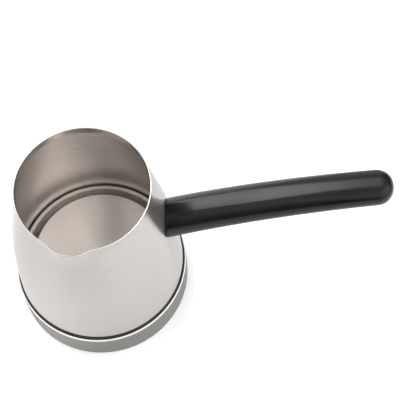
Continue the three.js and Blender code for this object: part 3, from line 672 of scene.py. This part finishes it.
def make_connector():
    """Moulded housing with the two concentric contacts and the centre pin of a cordless base."""
    housing = [
        (2.2, 6.6), (4.2, 6.6), (4.2, 12.1), (7.6, 12.1), (7.6, 6.6), (9.6, 6.6), (9.6, 12.1), (13.0, 12.1),
        (13.0, 6.0), (14.6, 6.0), (14.6, 12.3), (18.7, 12.3), (18.7, 14.3), (2.2, 14.3),
    ]
    plastic = [FINISHES["connector_plastic"]]
    body = turned("connector_moulding", filleted(housing, 0.25), 128, plastic)
    hole = [(0, 11), (CONNECTOR_SCREW_HOLE, 11), (CONNECTOR_SCREW_HOLE, 16), (0, 16)]
    tools = [
        turned("tool", hole, 32, plastic, closed=False, centre=c)
        for c in places(CONNECTOR_SCREW_CIRCLE, CONNECTOR_SCREW_ANGLES)
    ]
    for radius, angle, width, thickness in ((12.2, 315, 5, 1.7), (6.7, 180, 4, 1.6)):
        tool = box_piece((thickness, width, 5), (radius, 0, 13.6), plastic[0])
        turn_about_axis(tool, angle)
        tools.append(tool)
    combine(body, tools)
    finish_piece(body, "connector_housing", bevel=0.1)

    brass = [FINISHES["brass"]]
    for name, inner, outer, bottom, tab in (
        ("earth_contact", 12.0, 12.6, 7.0, (315, 4, 17.8)),
        ("neutral_contact", 6.5, 7.1, 7.2, (180, 3, 16.7)),
    ):
        outline = [(inner, bottom), (outer, bottom), (outer, 11.8), (inner, 11.8)]
        ring = turned(f"{name}_band", filleted(outline, 0.2), 128, brass)
        angle, width, top = tab
        tongue = box_piece((outer - inner - 0.12, width, top - 9.8),
                           ((inner + outer) / 2, 0, (9.8 + top) / 2), brass[0])
        turn_about_axis(tongue, angle)
        combine(ring, [tongue], "UNION")
        finish_piece(ring, name, bevel=0.06)

    outline = [(0, 7.4), (1.3, 7.4), (1.8, 8.0), (1.8, 14.6), (0, 14.6)]
    pin = turned("live_pin_turned", filleted(outline, 0.3), 64, brass, closed=False)
    combine(pin, [box_piece((3, 12, 0.8), (0, 5, 14.9), brass[0])], "UNION")
    finish_piece(pin, "live_pin", bevel=0.08)

    outline = [(0, 10.4), (0.8, 11.0), (0.8, 14.5), (1.8, 14.5), (1.8, 15.5), (0, 15.7)]
    for i, centre in enumerate(places(CONNECTOR_SCREW_CIRCLE, CONNECTOR_SCREW_ANGLES)):
        screw = turned(f"connector_screw_{i + 1}_turned", filleted(outline, 0.2), 32,
                       [FINISHES["zinc_steel"]], closed=False, centre=centre)
        finish_piece(screw, f"connector_screw_{i + 1}")


# ---------------------------------------------------------------- handle

def handle_station(s):
    """Point of the handle's centreline and its slope at a distance along it."""
    radius = HANDLE_LENGTH / (HANDLE_START_SLOPE - HANDLE_END_SLOPE)
    slope = HANDLE_START_SLOPE - s / radius
    x = HANDLE_START[0] + radius * (math.sin(HANDLE_START_SLOPE) - math.sin(slope))
    z = HANDLE_START[1] + radius * (math.cos(slope) - math.cos(HANDLE_START_SLOPE))
    return x, z, slope


def bezier(points, steps):
    """Curve of any order from its control points, without its last point."""
    made = []
    for step in range(steps):
        t = step / steps
        level = [Vector(p) for p in points]
        while len(level) > 1:
            level = [a.lerp(b, t) for a, b in zip(level, level[1:])]
        made.append(level[0])
    return made


def handle_section(size):
    """Cross-section, anticlockwise from its widest point: flank, crowned top, flank, round belly."""
    steps = 14
    w, flat, top, bottom, soft = (size[k] for k in ("half_width", "flat", "top", "bottom", "crease"))
    flank = bezier([(w, 0), (w, FLANK_FULLNESS * top), (flat, top)], 4 * steps) + [Vector((flat, top))]
    crest = top + HANDLE_CROWN
    crown = bezier([(flat, top), (0, crest), (-flat, top)], 4 * steps)
    corner = Vector((flat, top))
    flank = [p for p in flank if (p - corner).length >= soft]
    crown = [p for p in crown if (p - corner).length >= soft and p.x >= 0]
    side = (
        resample(flank, steps)
        + bezier([flank[-1], corner, crown[0]], 8)
        + resample(crown + [Vector((0, (top + crest) / 2))], 5)
    )
    mirrored = [Vector((-p.x, p.y)) for p in reversed(side)][:-1]
    wide, deep = BELLY_FULLNESS * w, BELLY_FULLNESS * bottom
    belly = bezier([(-w, 0), (-w, -deep), (-wide, -bottom), (0, -bottom)], steps)
    far_belly = bezier([(0, -bottom), (wide, -bottom), (w, -deep), (w, 0)], steps)
    return side + [Vector((0, (top + crest) / 2))] + mirrored + belly + far_belly


def resample(points, count):
    """The same open line with that many equal steps, without its last point."""
    lengths = [0.0]
    for a, b in zip(points, points[1:]):
        lengths.append(lengths[-1] + (b - a).length)
    made = []
    for i in range(count):
        target = lengths[-1] * i / count
        k = max(j for j in range(len(lengths)) if lengths[j] <= target)
        k = min(k, len(points) - 2)
        share = (target - lengths[k]) / max(1e-9, lengths[k + 1] - lengths[k])
        made.append(points[k].lerp(points[k + 1], share))
    return made


def handle_point(s, across, up):
    """A point beside the centreline, in mm about the pot's axis."""
    x, z, slope = handle_station(s)
    return (x - up * math.sin(slope), across, z + up * math.cos(slope))


def root_distance(across, up):
    """How far along the handle a line of its skin leaves the pot wall, with the gap."""
    low, high = ROOT_SEARCH
    for _ in range(40):
        s = (low + high) / 2
        x, y, z = handle_point(s, across, up)
        if math.hypot(x, y) < wall_radius(min(z, RIM_HEIGHT)) + GAP:
            low = s
        else:
            high = s
    return high


def handle_size(s):
    """Measures of the cross-section at a distance along the handle."""
    share = min(1, max(0, s / HANDLE_LENGTH))
    size = {key: lerp(HANDLE_ROOT[key], HANDLE_END[key], share) for key in HANDLE_ROOT}
    size["crease"] = lerp(CREASE_ROOT, CREASE_END, smoothstep(s, *CREASE_SOFTENS))
    return size


def make_handle():
    """Rings of skin from the face against the pot to the round end, then the bracket's cuts."""
    root = handle_section(handle_size(0))
    rings = []
    for scale in (0.2, 0.5, 0.8):  # face against the pot
        face = [p * scale for p in root]
        rings.append([handle_point(root_distance(p.x, p.y), p.x, p.y) for p in face])
    for inset, back in ((ROOT_ROUNDING, 0), (0.15, 0.12), (0, ROOT_ROUNDING)):  # its rounded edge
        ring = []
        for p in root:
            q = p * (1 - inset / p.length)
            ring.append(handle_point(root_distance(q.x, q.y) + back, q.x, q.y))
        rings.append(ring)
    starts = [root_distance(p.x, p.y) + ROOT_ROUNDING for p in root]
    reach = max(starts) + ROOT_BLEND
    for share in (0.25, 0.5, 0.75):
        ring = []
        for i, start in enumerate(starts):
            s = lerp(start, reach, share)
            p = handle_section(handle_size(s))[i]
            ring.append(handle_point(s, p.x, p.y))
        rings.append(ring)
    s = reach
    while s < HANDLE_LENGTH:
        rings.append([handle_point(s, p.x, p.y) for p in handle_section(handle_size(s))])
        s += HANDLE_RING_STEP
    for turn in END_TURNS:  # round in plan, squarer from the side
        out = math.sin(math.radians(turn))
        across, up = math.sqrt(1 - out**2), math.sqrt(1 - out**4)
        s = HANDLE_LENGTH + HANDLE_TIP * out
        rings.append([handle_point(s, p.x * across, p.y * up) for p in handle_section(handle_size(s))])
    count = len(root)
    vertices = [v for ring in rings for v in ring]
    faces = []
    for i in range(len(rings) - 1):
        for j in range(count):
            k = (j + 1) % count
            faces.append([i * count + j, (i + 1) * count + j, (i + 1) * count + k, i * count + k])
    for base, end, flip in (
        (0, root_distance(0, 0), False),
        ((len(rings) - 1) * count, HANDLE_LENGTH + HANDLE_TIP, True),
    ):
        vertices.append(handle_point(end, 0, 0))
        middle = len(vertices) - 1
        for j in range(count):
            a, b = base + j, base + (j + 1) % count
            faces.append([middle, b, a] if flip else [middle, a, b])
    for face in faces:
        face.reverse()
    piece = new_piece("handle_grip", vertices, faces, [FINISHES["handle_plastic"]])
    combine(piece, handle_tools())
    return finish_piece(piece, "handle")


def on_tang(piece):
    """Places a piece modelled with X along the straight tang and Z towards the handle's top."""
    x, z, slope = handle_station(0)
    turn = Matrix.Rotation(-slope, 4, "Y")
    to_axis = Matrix.Translation(on_axis(0, 0, 0)).inverted()
    piece.data.transform(Matrix.Translation(on_axis(x, 0, z)) @ turn @ to_axis)
    return piece


def handle_tools():
    """Cutters for the bracket's saddle and tang and for the screw that comes up from below."""
    plastic = [FINISHES["handle_plastic"]]
    core = [(0, FOOT_HEIGHT)] + [(r + SADDLE_SHEET + 3 * GAP, z) for r, z in WALL_POINTS] + [(0, RIM_HEIGHT)]
    pocket = turned("tool", core, 160, plastic, closed=False)
    middle = (HANDLE_START[0], 0, (SADDLE_BOTTOM + SADDLE_TOP) / 2)
    size = (30, 2 * (SADDLE_HALF_WIDTH + GAP), SADDLE_TOP - SADDLE_BOTTOM + 2 * GAP)
    combine(pocket, [box_piece(size, middle, plastic[0])], "INTERSECT")
    length = TANG_LENGTH + TANG_BURIED + 2 * GAP
    size = (length, 2 * (TANG_HALF_WIDTH + GAP), TANG_THICKNESS + 2 * GAP)
    slot = on_tang(box_piece(size, ((TANG_LENGTH - TANG_BURIED) / 2, 0, 0), plastic[0]))
    holes = []
    for radius, bottom, top in ((TANG_SCREW_HOLE, -12, 0), (TANG_SCREW_RECESS, -20, TANG_SCREW_SEAT)):
        outline = [(0, bottom), (radius, bottom), (radius, top), (0, top)]
        hole = turned("tool", outline, 48, plastic, closed=False, centre=(TANG_SCREW_AT, 0))
        holes.append(on_tang(hole))
    return [pocket, slot] + holes


def make_handle_screw():
    outline = [(0, -6.6), (2.4, -6.6), (2.9, -6.1), (2.9, -4.9), (1.5, -4.9), (1.5, 0.8), (0, 0.8)]
    screw = cross_screw("handle_screw_turned", outline, (TANG_SCREW_AT, 0), -8, -5.9)
    finish_piece(on_tang(screw), "handle_screw", bevel=0.08)


# ---------------------------------------------------------------- carried-over CAD nodes

def dress_cad_nodes():
    """Materials and smooth shading, kept crisp across real edges, for the CAD nodes that stay as they are.
    """
    edges = smooth_edges_group()
    for name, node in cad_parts.items():
        slot = node.data.materials[0].name
        node.data.materials[0] = ELEMENT_SHEATH if name == "heating_element" else FINISHES[slot]
        if not node.hide_render:
            node.modifiers.new("smooth", "NODES").node_group = edges


def smooth_edges_group():
    """Welds the faceted mesh and shades it smooth except across its real edges."""
    group = bpy.data.node_groups.new("smooth_edges", "GeometryNodeTree")
    group.interface.new_socket("Geometry", in_out="INPUT", socket_type="NodeSocketGeometry")
    group.interface.new_socket("Geometry", in_out="OUTPUT", socket_type="NodeSocketGeometry")
    add, link = group.nodes.new, group.links.new
    source, target = add("NodeGroupInput"), add("NodeGroupOutput")
    weld = add("GeometryNodeMergeByDistance")
    weld.inputs["Distance"].default_value = CAD_WELD
    clear = add("GeometryNodeRemoveAttribute")
    clear.inputs["Name"].default_value = "custom_normal"
    faces = add("GeometryNodeSetShadeSmooth")
    edges = add("GeometryNodeSetShadeSmooth")
    edges.domain = "EDGE"
    edges.inputs["Shade Smooth"].default_value = False
    angle = add("GeometryNodeInputMeshEdgeAngle")
    sharp = add("FunctionNodeCompare")
    sharp.operation = "GREATER_THAN"
    sharp.inputs["B"].default_value = CAD_SHARP_FROM
    link(source.outputs[0], weld.inputs["Geometry"])
    link(weld.outputs[0], clear.inputs["Geometry"])
    link(clear.outputs[0], faces.inputs["Geometry"])
    link(faces.outputs[0], edges.inputs["Geometry"])
    link(angle.outputs["Unsigned Angle"], sharp.inputs["A"])
    link(sharp.outputs[0], edges.inputs["Selection"])
    link(edges.outputs[0], target.inputs[0])
    return group


# ---------------------------------------------------------------- stage

def make_floor():
    """Matt white studio floor with a slight glow."""
    s = Surface("studio_floor", Roughness=0.75, IOR=1.4, Emission_Strength=FLOOR_GLOW)
    cloud = s.noise(s.place, scale=9, detail=4)
    white = s.mix(s.ramp(cloud, 0.3, 0.7), (0.93, 0.93, 0.93), (0.95, 0.95, 0.95))
    s.set(**{"Base Color": white, "Emission Color": white})
    corners = [(x * FLOOR_REACH, y * FLOOR_REACH, 0) for x, y in ((-1, -1), (1, -1), (1, 1), (-1, 1))]
    mesh = bpy.data.meshes.new("floor")
    mesh.from_pydata(corners, [], [(0, 1, 2, 3)])
    mesh.materials.append(s.material)
    floor = bpy.data.objects.new("floor", mesh)
    floor.location.z = -FLOOR_DROP
    bpy.context.scene.collection.objects.link(floor)


def make_sky():
    """Soft studio dome with a large softbox at the front right, smaller ones behind, and dark flags.

    It lights the scene and shows in the reflections. Behind the floor's edge the backdrop is plain white.
    """
    world = bpy.data.worlds.new("studio")
    world.use_nodes = True
    tree = world.node_tree
    tree.nodes.clear()
    add, link = tree.nodes.new, tree.links.new
    direction = add("ShaderNodeTexCoord").outputs["Generated"]

    def patch(place, spread, inside, outside):
        """Level inside a round patch of the sky, blending to the level outside it."""
        azimuth, elevation = (math.radians(a) for a in place)
        towards = (
            math.cos(elevation) * math.cos(azimuth),
            math.cos(elevation) * math.sin(azimuth),
            math.sin(elevation),
        )
        dot = add("ShaderNodeVectorMath")
        dot.operation = "DOT_PRODUCT"
        link(direction, dot.inputs[0])
        dot.inputs[1].default_value = towards
        made = add("ShaderNodeMapRange")
        made.interpolation_type = "SMOOTHSTEP"
        link(dot.outputs["Value"], made.inputs["Value"])
        made.inputs["From Min"].default_value = math.cos(math.radians(spread[1]))
        made.inputs["From Max"].default_value = math.cos(math.radians(spread[0]))
        made.inputs["To Min"].default_value = outside
        made.inputs["To Max"].default_value = inside
        return made.outputs[0]

    def combined(operation, a, b):
        made = add("ShaderNodeMath")
        made.operation = operation
        link(a, made.inputs[0])
        link(b, made.inputs[1])
        return made.outputs[0]

    base = add("ShaderNodeValue")
    base.outputs[0].default_value = SKY_LEVEL
    level = base.outputs[0]
    for place, spread, share in SKY_SHADES:
        level = combined("MULTIPLY", level, patch(place, spread, 1 - share, 1))
    for place, spread, strength in SOFTBOXES:
        level = combined("ADD", level, patch(place, spread, strength, 0))
    studio = add("ShaderNodeBackground")
    studio.inputs["Color"].default_value = (1, 1, 1, 1)
    link(level, studio.inputs["Strength"])
    backdrop = add("ShaderNodeBackground")
    backdrop.inputs["Color"].default_value = (1, 1, 1, 1)
    seen = add("ShaderNodeMixShader")
    link(add("ShaderNodeLightPath").outputs["Is Camera Ray"], seen.inputs[0])
    link(studio.outputs[0], seen.inputs[1])
    link(backdrop.outputs[0], seen.inputs[2])
    output = add("ShaderNodeOutputWorld")
    link(seen.outputs[0], output.inputs["Surface"])
    bpy.context.scene.world = world


def make_camera():
    """Looks down at the pot from the handle's near side, turned a little about its own axis."""
    data = bpy.data.cameras.new("camera")
    data.sensor_width = SENSOR_WIDTH
    data.lens = CAMERA_LENS
    data.clip_start = CAMERA_NEAR
    camera = bpy.data.objects.new("camera", data)
    camera.location = CAMERA_PLACE
    camera.rotation_euler = [math.radians(a) for a in CAMERA_TURN]
    bpy.context.scene.collection.objects.link(camera)
    bpy.context.scene.camera = camera
    bpy.context.scene.view_settings.view_transform = "Standard"


make_pot_body()
make_heating_plate()
make_base_ring()
make_seal_ring()
make_base_cover()
make_cover_screws()
make_connector()
make_handle()
make_handle_screw()
dress_cad_nodes()
make_floor()
make_sky()
make_camera()
